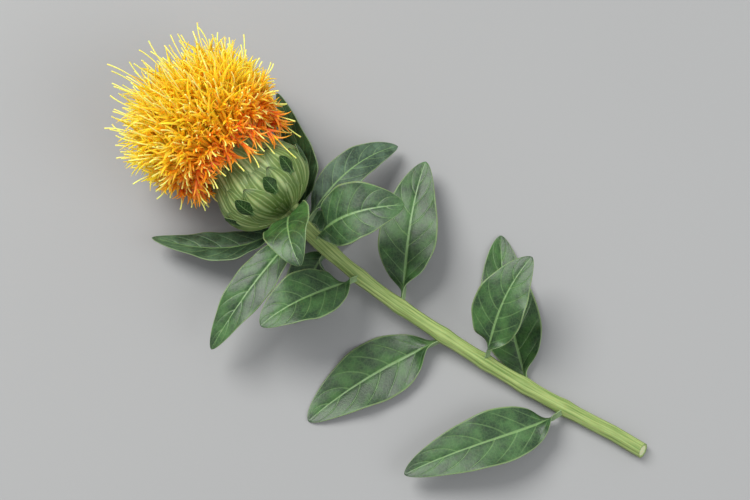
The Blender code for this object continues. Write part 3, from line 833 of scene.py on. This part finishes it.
def make_small_blade(azimuth, higher, larger):
    """A small oval blade that lies along the globe, with its tip standing off a little."""
    top, bottom, uv = [], [], []
    for i in range(TIP_STATIONS):
        t = 1.0 - (1.0 - i / (TIP_STATIONS - 1)) ** TIP_CROWDING
        s = TIP_START + higher + TIP_LENGTH * larger * t
        out = involucre_radius(s) + TIP_FOOT_RISE + (TIP_RISE - TIP_FOOT_RISE) * t
        half_angle = blade_half_width(t, TIP_WIDTH * larger) / out
        for j in range(TIP_COLUMNS):
            across = 2.0 * j / (TIP_COLUMNS - 1) - 1.0
            cupped = out - TIP_CUP * abs(across) ** 1.5 * math.sin(math.pi * min(1.0, t + 0.15))
            angle = azimuth + across * half_angle
            top.append(HEAD_MATRIX @ in_head(s, cupped, angle))
            bottom.append(HEAD_MATRIX @ in_head(s, cupped - TIP_THICKNESS * (1.0 - 0.5 * abs(across)), angle))
            uv.append(((across + 1.0) / 2, t))
    return blade_piece("small_blade", top, bottom, TIP_COLUMNS, uv, 0.0, [small_blade_skin])


def make_small_blades():
    """The six blades round the globe, no two of them at quite the same height or of the same size."""
    draw = random.Random(21)
    blades = []
    for degrees in TIP_AZIMUTHS:
        azimuth = math.radians(degrees + draw.uniform(-TIP_STRAY, TIP_STRAY))
        blades.append(make_small_blade(azimuth, draw.uniform(-TIP_UNEVEN, TIP_UNEVEN), draw.uniform(0.82, 1.12)))
    return joined("small_blades", blades)


small_blades = make_small_blades()
print("small blades:", triangles(small_blades), "triangles")

# %% [markdown]
# ## The florets
# The tuft is several hundred florets. A real one is a slim orange tube that opens into five narrow lobes; from
# its throat stands a yellow tube of anthers, and out of that a pale thread, the style. All four parts are
# threads: a curve given by its start, its bend and its end, with a thickness that swells and tapers. So one
# Geometry Nodes tree draws them all. Python only works out where each thread goes, by the same golden-angle rule
# that a real head follows, and hands the tree one point a thread, with the three places as attributes.

# %% A tree that draws threads
def bezier(tree, factor, start, bend, end):
    """The quadratic curve through start and end that leans towards bend."""
    rest = calc(tree, "SUBTRACT", 1.0, factor)
    weights = (calc(tree, "MULTIPLY", rest, rest),
               calc(tree, "MULTIPLY", calc(tree, "MULTIPLY", rest, factor), 2.0),
               calc(tree, "MULTIPLY", factor, factor))
    scaled = [add_node(tree, "ShaderNodeVectorMath", {0: place, "Scale": weight}, operation="SCALE").outputs[0]
              for place, weight in zip((start, bend, end), weights)]
    half = add_node(tree, "ShaderNodeVectorMath", {0: scaled[0], 1: scaled[1]}, operation="ADD").outputs[0]
    return add_node(tree, "ShaderNodeVectorMath", {0: half, 1: scaled[2]}, operation="ADD").outputs[0]


def thread_tree():
    tree, given = new_tree("threads", (
        ("Steps", "Int", 7), ("Sides", "Int", 4), ("Flatness", "Float", 1.0), ("Root", "Float", 1.0),
        ("Tip", "Float", 0.2), ("Belly", "Float", 0.0), ("Waver", "Float", 0.0), ("Seed", "Int", 1),
        ("Floor", "Float", 0.0), ("Material", "Material", None)))
    line = add_node(tree, "GeometryNodeCurvePrimitiveLine").outputs[0]
    line = add_node(tree, "GeometryNodeResampleCurve", {"Curve": line, "Count": given.outputs["Steps"]}).outputs[0]
    line = store(tree, line, "along", add_node(tree, "GeometryNodeSplineParameter").outputs["Factor"])
    threads = add_node(tree, "GeometryNodeInstanceOnPoints",
                       {"Points": given.outputs["Geometry"], "Instance": line}).outputs[0]
    threads = add_node(tree, "GeometryNodeRealizeInstances", {"Geometry": threads}).outputs[0]
    chance = add_node(tree, "FunctionNodeRandomValue",
                      {"Min": (-1.0, -1.0, -1.0), "Max": (1.0, 1.0, 1.0), "ID": named(tree, "thread", "INT"),
                       "Seed": given.outputs["Seed"]}, data_type="FLOAT_VECTOR").outputs[0]
    lean = add_node(tree, "ShaderNodeVectorMath", {0: chance, "Scale": given.outputs["Waver"]}, operation="SCALE")
    bend = add_node(tree, "ShaderNodeVectorMath", {0: named(tree, "bend", "FLOAT_VECTOR"), 1: lean.outputs[0]},
                    operation="ADD").outputs[0]
    along = named(tree, "along")
    place = bezier(tree, along, named(tree, "start", "FLOAT_VECTOR"), bend, named(tree, "end", "FLOAT_VECTOR"))
    axes = add_node(tree, "ShaderNodeSeparateXYZ", {"Vector": place})
    lowest = calc(tree, "ADD", named(tree, "thick"), given.outputs["Floor"])
    lifted = calc(tree, "SMOOTH_MAX", axes.outputs[2], lowest, 0.6 * MM)
    place = add_node(tree, "ShaderNodeCombineXYZ",
                     {"X": axes.outputs[0], "Y": axes.outputs[1], "Z": lifted}).outputs[0]
    threads = add_node(tree, "GeometryNodeSetPosition", {"Geometry": threads, "Position": place}).outputs[0]
    rest = calc(tree, "SUBTRACT", 1.0, along)
    taper = calc(tree, "ADD", calc(tree, "MULTIPLY", rest, given.outputs["Root"]),
                 calc(tree, "MULTIPLY", along, given.outputs["Tip"]))
    hump = calc(tree, "MULTIPLY", calc(tree, "MULTIPLY", rest, along), 4.0)
    swell = calc(tree, "MULTIPLY_ADD", hump, given.outputs["Belly"], 1.0)
    girth = calc(tree, "MULTIPLY", calc(tree, "MULTIPLY", taper, swell), named(tree, "thick"))
    ring = add_node(tree, "GeometryNodeCurvePrimitiveCircle",
                    {"Resolution": given.outputs["Sides"], "Radius": 1.0}).outputs[0]
    flat = add_node(tree, "ShaderNodeCombineXYZ", {"X": 1.0, "Y": given.outputs["Flatness"], "Z": 1.0}).outputs[0]
    ring = add_node(tree, "GeometryNodeTransform", {"Geometry": ring, "Scale": flat}).outputs[0]
    tubes = add_node(tree, "GeometryNodeCurveToMesh",
                     {"Curve": threads, "Profile Curve": ring, "Scale": girth, "Fill Caps": True}).outputs[0]
    close_tree(tree, tubes, given.outputs["Material"])
    return tree


def make_threads(name, table, **values):
    """One piece from a table of threads, each (start, bend, end, thickness, tint)."""
    points = bpy.data.meshes.new(name)
    points.from_pydata([row[0] for row in table], [], [])
    for title, column in (("start", 0), ("bend", 1), ("end", 2)):
        layer = points.attributes.new(title, "FLOAT_VECTOR", "POINT")
        layer.data.foreach_set("vector", [number for row in table for number in row[column]])
    for title, column in (("thick", 3), ("tint", 4)):
        layer = points.attributes.new(title, "FLOAT", "POINT")
        layer.data.foreach_set("value", [row[column] for row in table])
    layer = points.attributes.new("thread", "INT", "POINT")
    layer.data.foreach_set("value", list(range(len(table))))
    piece = bpy.data.objects.new(name, points)
    bpy.context.scene.collection.objects.link(piece)
    return grown(piece, threads, **values)


threads = thread_tree()

# %% [markdown]
# The colour of a thread runs along it, from red orange at its root to golden yellow at its tip. This is partly the
# florets' own colour and partly painted shade, redder and deeper at the roots down inside the tuft. The attribute
# `tint` says how orange the whole thread is: low for the young florets in the middle of the head, high for the
# oldest ones at its rim, with some chance between neighbours.

# %% Floret finishes
# the red and orange at the threads' roots are partly painted shade deep inside the tuft
FLORET_RED = paint(234, 78, 14)
FLORET_ORANGE = paint(255, 144, 10)
FLORET_GOLD = paint(255, 190, 12)
FLORET_YELLOW = paint(255, 212, 34)
STYLE_PALE = paint(254, 234, 120)


def floret_finish(name, root, tip, orange_root, orange_tip, reach=(0.0, 0.8)):
    """A thread's finish: one pair of colours for a young floret and one for an old one, each from root to tip, the
    deeper root colour partly painted shade.
    """
    material, tree, shader = new_finish(name, 0.5, Subsurface_Weight=0.45, Subsurface_Scale=0.003)
    along = attribute(tree, "along")
    # from root to tip: the redder roots are partly painted shade deep in the tuft, partly the florets' own colour
    root_shade_to_tip = between(tree, along, *reach)
    young = blend(tree, root_shade_to_tip, root, tip)
    old = blend(tree, root_shade_to_tip, orange_root, orange_tip)
    patches = noise(tree, 3 * MM, 2.0)
    tint = calc(tree, "ADD", attribute(tree, "tint"), calc(tree, "MULTIPLY_ADD", patches, 0.3, -0.15))
    colour = blend(tree, between(tree, tint, 0.0, 1.0), young, old)
    tree.links.new(colour, shader.inputs["Base Color"])
    bumped(tree, shader, noise(tree, 0.3 * MM, 2.0), 0.05 * MM, 0.4)
    return material


lobe_skin = floret_finish("lobe_skin", FLORET_GOLD, FLORET_YELLOW, FLORET_RED, FLORET_ORANGE)
tube_skin = floret_finish("tube_skin", FLORET_ORANGE, FLORET_YELLOW, FLORET_RED, FLORET_ORANGE)
anther_skin = floret_finish("anther_skin", FLORET_GOLD, FLORET_YELLOW, FLORET_ORANGE, FLORET_GOLD)
style_skin = floret_finish("style_skin", FLORET_GOLD, STYLE_PALE, FLORET_ORANGE, STYLE_PALE, (0.0, 0.5))

# %% Where the florets go
GOLDEN_ANGLE = math.radians(137.508)
FLORET_COUNT = 450
TUFT_CENTRE = 34 * MM
TUFT_RADIUS = 21.5 * MM
TUFT_FLATNESS = 0.92
TUFT_UNEVEN = (-3.6 * MM, 1.2 * MM)
TUFT_WIDEST_ANGLE = math.radians(138)
RIM_CROWDING = 0.88
FLORET_FOOT = 19.0 * MM
FLORET_FOOT_SPREAD = 6.8 * MM
FLORET_BEND_CHANCE = 1.6 * MM
FLORET_ARCH = 4.0 * MM
RIM_ARCH_UP = 7.0 * MM
RIM_ARCH_OUT = 4.5 * MM
RIM_DROOP = 3.5 * MM
ORANGE_FROM = 0.58
THROAT = 0.62
LOBES = 5
LOBE_SPREAD = (16, 48)
LOBE_THICK = 0.54 * MM
TUBE_THICK = 0.58 * MM
ANTHER_THICK = 0.36 * MM
STYLE_THICK = 0.17 * MM
LONG_FLORET_EVERY = 7
LONG_FLORET_EXTRA = 3.0 * MM


def arc(start, bend, end, t):
    return start * (1 - t) ** 2 + bend * (2 * t * (1 - t)) + end * t * t


def floret_parts(number, draw):
    """The threads of one floret: its tube, its lobes, its anthers and its style."""
    share = (number + 0.5) / FLORET_COUNT
    polar = math.acos(1.0 - share ** RIM_CROWDING * (1.0 - math.cos(TUFT_WIDEST_ANGLE)))
    polar = abs(polar + draw.uniform(-0.06, 0.06))
    azimuth = number * GOLDEN_ANGLE + draw.uniform(-0.1, 0.1)
    reach = TUFT_RADIUS + draw.uniform(*TUFT_UNEVEN)
    rim = polar / TUFT_WIDEST_ANGLE
    if number % LONG_FLORET_EVERY == 0:
        reach += LONG_FLORET_EXTRA * draw.uniform(0.4, 1.0) * (1.0 - rim)
    start = in_head(FLORET_FOOT, FLORET_FOOT_SPREAD * min(1.0, 1.25 * rim ** 0.7), azimuth)
    curl = rim ** 3
    droop = RIM_DROOP * curl ** 2 * draw.uniform(0.5, 1.7)
    height = TUFT_CENTRE + TUFT_FLATNESS * reach * math.cos(polar) - droop
    end = in_head(height, reach * math.sin(polar), azimuth)
    arch = in_head(FLORET_ARCH * math.sin(polar) + RIM_ARCH_UP * curl, RIM_ARCH_OUT * curl, azimuth)
    stray = in_head(0.0, draw.uniform(-1.0, 1.0) * FLORET_BEND_CHANCE, azimuth + math.pi / 2)
    start, bend, end = (HEAD_MATRIX @ place for place in (start, start.lerp(end, 0.5) + arch + stray, end))
    throat = arc(start, bend, end, THROAT)
    before = arc(start, bend, end, THROAT / 2)
    tube_bend = before * 2 - (start + throat) / 2
    ahead = end - throat
    length = ahead.length
    ahead.normalize()
    side = ahead.orthogonal().normalized()
    other = ahead.cross(side)
    tint = min(1.0, max(0.0, max(0.0, rim - ORANGE_FROM) / (1.0 - ORANGE_FROM) + draw.uniform(-0.1, 0.2)))
    tube = (start, tube_bend, throat, TUBE_THICK * draw.uniform(0.85, 1.1), tint)
    lobes = []
    turn = draw.uniform(0.0, 2 * math.pi)
    for k in range(LOBES):
        angle = turn + 2 * math.pi * k / LOBES + draw.uniform(-0.25, 0.25)
        spread = math.radians(draw.uniform(*LOBE_SPREAD))
        reach_out = length * draw.uniform(0.82, 1.12)
        out = side * math.cos(angle) + other * math.sin(angle)
        lobe_end = throat + ahead * (reach_out * math.cos(spread)) + out * (reach_out * math.sin(spread))
        lobe_bend = throat + ahead * (reach_out * 0.55) + out * (reach_out * math.sin(spread) * draw.uniform(0.0, 0.45))
        lobes.append((throat, lobe_bend, lobe_end, LOBE_THICK * draw.uniform(0.8, 1.15), tint + draw.uniform(-0.1, 0.1)))
    anther_end = throat + ahead * (length * draw.uniform(0.45, 0.6))
    anther = (throat, throat.lerp(anther_end, 0.5), anther_end, ANTHER_THICK, tint)
    sway = (side * draw.uniform(-1, 1) + other * draw.uniform(-1, 1)) * (length * 0.12)
    style_end = throat + ahead * (length * draw.uniform(1.0, 1.5)) + sway
    style = (anther_end, anther_end.lerp(style_end, 0.6) - sway * 0.5, style_end, STYLE_THICK, tint)
    return tube, lobes, anther, style


def make_florets():
    draw = random.Random(11)
    tubes, lobes, anthers, styles = [], [], [], []
    for number in range(FLORET_COUNT):
        tube, own_lobes, anther, style = floret_parts(number, draw)
        tubes.append(tube)
        lobes += own_lobes
        anthers.append(anther)
        styles.append(style)
    return [
        make_threads("floret_tubes", tubes, steps=7, sides=7, root=0.55, tip=1.0, belly=-0.15, material=tube_skin),
        make_threads("floret_lobes", lobes, steps=7, sides=5, flatness=0.4, root=0.7, tip=0.12, belly=0.75,
                     waver=1.1 * MM, seed=4, material=lobe_skin),
        make_threads("anthers", anthers, steps=4, sides=6, root=0.8, tip=0.7, belly=0.25, material=anther_skin),
        make_threads("styles", styles, steps=7, sides=5, root=0.85, tip=1.2, waver=0.8 * MM, seed=9,
                     material=style_skin),
    ]


florets = make_florets()
for piece in florets:
    print(piece.name, triangles(piece), "triangles")

# %% [markdown]
# ## The leaves
# Each leaf is a thin blade on a midrib that is a cubic curve, given in the plant's own ruler: it leaves the stem,
# turns with its azimuth and droops by its weight. The blade's face looks towards the head at the foot and turns
# to the sky soon after. Across it lie a shallow cup, a slow wave of the margin, a quicker and smaller one, a
# sunk midrib and side veins. The foot is a short, narrow stalk, in which the blade makes most of its turn.

# %% The blade's shape
LEAF_STATIONS = 76
LEAF_COLUMNS = 33
LEAF_ROOT = 0.07
BLADE_CUP = 0.16
WAVE_HEIGHT = 0.55 * MM
WAVE_TURNS = 11.0
WAVE_SHIFT = 1.6
RIPPLE_HEIGHT = 0.22 * MM
RIPPLE_TURNS = 29.0
FACE_TURN_LENGTH = 0.25
MIDDLE_THICKNESS = 0.5 * MM
EDGE_THICKNESS = 0.2 * MM
MIDRIB_HEIGHT = 0.55 * MM
MIDRIB_SINK = 0.18 * MM
VEIN_SINK = 0.09 * MM
SOFT_LANDING = 0.8 * MM


def cubic(points, t):
    a, b, c, d = points
    u = 1.0 - t
    return a * u ** 3 + b * 3 * u * u * t + c * 3 * u * t * t + d * t ** 3


def eased(value):
    value = min(1.0, max(0.0, value))
    return value * value * (3.0 - 2.0 * value)


def above_table(height):
    """The height itself when it is well above the table, and it levels out softly as it comes down to it."""
    low = BLADE_THICKNESS / 2
    return low + ((height - low) + math.hypot(height - low, SOFT_LANDING)) / 2


def midrib_point(place, foot, row, t):
    """A point on a leaf's midrib. Where it would go through the table, it slides along it."""
    _, _, foot_azimuth, tip_azimuth, run, _, _, droop = row
    controls = [Vector((0.0, foot))] + [Vector((along * MM, foot + out * MM)) for along, out in run]
    along, out = cubic(controls, t)
    point = round_axis(place, along, out, math.radians(foot_azimuth + (tip_azimuth - foot_azimuth) * t))
    point.z = above_table(point.z - droop * MM * t * abs(t))
    return point


def blade_face(place, ahead, azimuth, turn):
    """The way the upper side of a blade looks: square to the midrib, turned from the head towards the sky."""
    outward = place[2] * math.cos(azimuth) + place[3] * math.sin(azimuth)
    face = place[1].cross(outward).cross(ahead).normalized()
    if face.dot(place[1]) < 0:
        face.negate()
    face = (face * (1.0 - turn) + UP * turn).normalized()
    return (face - ahead * face.dot(ahead)).normalized()


def make_leaf(row, bloom, phase):
    name, below, foot_azimuth, tip_azimuth, run, width, face_up, droop = row
    y = STEM_LENGTH - below * MM
    place = frame_at(y)
    foot = stem_radius(y) + SOLID_GAP + BLADE_THICKNESS / 2
    step = 0.5 / 8
    top, bottom, uv = [], [], []
    for i in range(LEAF_STATIONS):
        t = 1.0 - (1.0 + LEAF_ROOT) * (1.0 - i / (LEAF_STATIONS - 1)) ** TIP_CROWDING
        inside = max(t, 0.0)
        point = midrib_point(place, foot, row, t)
        ahead = (midrib_point(place, foot, row, min(t + step, 1.0)) - midrib_point(place, foot, row, t - step))
        ahead.normalize()
        azimuth = math.radians(foot_azimuth + (tip_azimuth - foot_azimuth) * t)
        turned = face_up * eased(t / FACE_TURN_LENGTH)
        face = blade_face(place, ahead, azimuth, turned)
        side = ahead.cross(face)
        half = blade_half_width(t, width * MM)
        for j in range(LEAF_COLUMNS):
            across = 2.0 * j / (LEAF_COLUMNS - 1) - 1.0
            edge = abs(across)
            swing = math.sin(math.pi * inside)
            wave = math.sin(phase + WAVE_TURNS * t + (WAVE_SHIFT if across > 0 else 0.0)) * swing
            ripple = math.sin(2.3 * phase + RIPPLE_TURNS * t + (2.1 if across > 0 else 0.0)) * swing
            vein = side_vein(t, across)
            rib = math.exp(-(across * half / (0.55 * MM)) ** 2)
            lift = BLADE_CUP * edge * half + WAVE_HEIGHT * across ** 2 * wave + RIPPLE_HEIGHT * across ** 4 * ripple
            fade = 1.0 - eased((inside - 0.75) / 0.25)
            upper = lift - (VEIN_SINK * vein + MIDRIB_SINK * rib) * fade
            lower = lift - (VEIN_SINK * vein + MIDRIB_HEIGHT * rib) * fade
            thickness = MIDDLE_THICKNESS + (EDGE_THICKNESS - MIDDLE_THICKNESS) * edge ** 1.5
            middle = point + side * (across * half)
            high = middle + face * (upper + thickness / 2)
            low = middle + face * (lower - thickness / 2)
            low.z = max(low.z, 0.0)
            high.z = max(high.z, low.z + thickness * 0.8 if low.z < thickness else high.z)
            top.append(high)
            bottom.append(low)
            uv.append(((across + 1.0) / 2, inside))
    return blade_piece(name + "_blade", top, bottom, LEAF_COLUMNS, uv, bloom, [leaf_upper, leaf_underside])


# %% [markdown]
# The leaves near the head carry the most bloom and the lower ones little. The phase of each leaf's wave is
# drawn from the same seed as the solids', in the same order, so the fine margins wave where the plain ones do.

# %% All the leaves
BLOOM = {"leaf_head_right": 0.95, "leaf_head_right_front": 0.5, "leaf_head_left_front": 0.6,
         "leaf_head_top": 0.25, "leaf_head_left": 0.35, "leaf_under_right": 0.5, "leaf_under_left": 0.4}
LOWER_BLOOM = 0.2


def make_leaves():
    draw = random.Random(5)
    tones = random.Random(8)
    leaves = {}
    for row in LEAVES:
        phase = draw.uniform(0.0, 2 * math.pi)
        bloom = BLOOM.get(row[0], LOWER_BLOOM) + tones.uniform(-0.15, 0.15)
        leaves[row[0]] = make_leaf(row, bloom, phase)
    return leaves


leaves = make_leaves()
print("leaves:", sum(triangles(leaf) for leaf in leaves.values()), "triangles")

# %% [markdown]
# ## Everything rides on the frame
# The plant has one body and no joint. Each piece rides on it; the table gives with it the solid that it stands for,
# which is hidden, and the name of a material slot, which nothing here reads.

# %% Ride, and hide the solids
PLACES = [(stem, "stem", "stem"), (cut, "stem", "stem"), (globe, "involucre", "involucre"),
          (bracts, "involucre", "involucre"), (small_blades, "involucre", "leaf")]
PLACES += [(piece, "florets", "florets") for piece in florets]
PLACES += [(leaf, node, "leaf") for node, leaf in leaves.items()]
for piece, node, slot in PLACES:
    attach(piece, "root")
    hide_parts(node)
print("pieces:", len(PLACES), "triangles in all:", sum(triangles(row[0]) for row in PLACES))

# %% [markdown]
# ## Table, light and camera
# The flower lies on a plain light grey table, in the soft light of a studio. One large soft lamp hangs above
# and to the upper left of the picture, a weaker one fills the shadows from the other side, and a pale sky does
# the rest. The camera looks down on the flower, as it would have looked at it from the side while it stood, and
# it is turned so that the head points to the upper left.

# %% The table
FLOOR_SIZE = 4.0


def make_floor():
    half = FLOOR_SIZE / 2
    floor = new_piece("floor", [(-half, -half, 0), (half, -half, 0), (half, half, 0), (-half, half, 0)],
                      [(0, 1, 2, 3)])
    material, tree, shader = new_finish("floor_paint", 0.75)
    grain = noise(tree, 0.4, 3.0)
    colour = blend(tree, between(tree, grain, 0.3, 0.7), paint(144, 145, 145), paint(149, 150, 150))
    tree.links.new(colour, shader.inputs["Base Color"])
    floor.data.materials.append(material)


make_floor()

# %% The lamps and the sky
HEAD_TILT_IN_PICTURE = math.radians(45)
LOOK_HEADING = math.atan2(HEAD[1].x, HEAD[1].y) + HEAD_TILT_IN_PICTURE
PICTURE_UP = Vector((math.sin(LOOK_HEADING), math.cos(LOOK_HEADING), 0.0))
PICTURE_RIGHT = PICTURE_UP.cross(UP)


def add_lamp(name, right, up, height, size, watts, colour):
    light = bpy.data.lights.new(name, "AREA")
    light.shape = "DISK"
    light.size = size
    light.energy = watts
    light.color = colour
    lamp = bpy.data.objects.new(name, light)
    lamp.location = PICTURE_RIGHT * right + PICTURE_UP * up + UP * height
    lamp.rotation_euler = (-lamp.location).to_track_quat("-Z", "Y").to_euler()
    bpy.context.scene.collection.objects.link(lamp)


add_lamp("key", -0.45, 0.45, 0.75, 0.6, 11.0, (1.0, 0.99, 0.97))
add_lamp("fill", 0.7, -0.35, 0.6, 0.8, 4.0, (0.97, 0.98, 1.0))
world = bpy.data.worlds.new("room")
world.use_nodes = True
world.node_tree.nodes["Background"].inputs["Color"].default_value = (0.97, 0.975, 1.0, 1.0)
world.node_tree.nodes["Background"].inputs["Strength"].default_value = 0.6
bpy.context.scene.world = world
bpy.context.scene.view_settings.view_transform = "Standard"

# %% The camera
PICTURE = (750, 500)
LENS = 85.0
SENSOR = 36.0
CAMERA_ELEVATION = math.radians(76)
MARGIN = 0.045


def add_camera():
    """Looks down on the flower and stands as close as keeps all of it in the picture."""
    data = bpy.data.cameras.new("camera")
    data.lens = LENS
    data.sensor_width = SENSOR
    data.clip_start = 0.01
    camera = bpy.data.objects.new("camera", data)
    bpy.context.scene.collection.objects.link(camera)
    back = UP * math.sin(CAMERA_ELEVATION) - PICTURE_UP * math.cos(CAMERA_ELEVATION)
    up = UP * math.cos(CAMERA_ELEVATION) + PICTURE_UP * math.sin(CAMERA_ELEVATION)
    points = [v.co for row in PLACES for v in row[0].data.vertices]
    wide = SENSOR / LENS * (0.5 - MARGIN)
    high = wide * PICTURE[1] / PICTURE[0]
    spans = []
    for axis, reach in ((PICTURE_RIGHT, wide), (up, high)):
        above = max(p.dot(axis) + p.dot(back) * reach for p in points)
        below = min(p.dot(axis) - p.dot(back) * reach for p in points)
        spans.append(((above + below) / 2, (above - below) / 2 / reach))
    distance = max(span[1] for span in spans)
    camera.location = PICTURE_RIGHT * spans[0][0] + up * spans[1][0] + back * distance
    camera.rotation_euler = Matrix((PICTURE_RIGHT, up, back)).transposed().to_euler()
    bpy.context.scene.camera = camera
    print("camera distance in mm:", round(distance / MM))


add_camera()
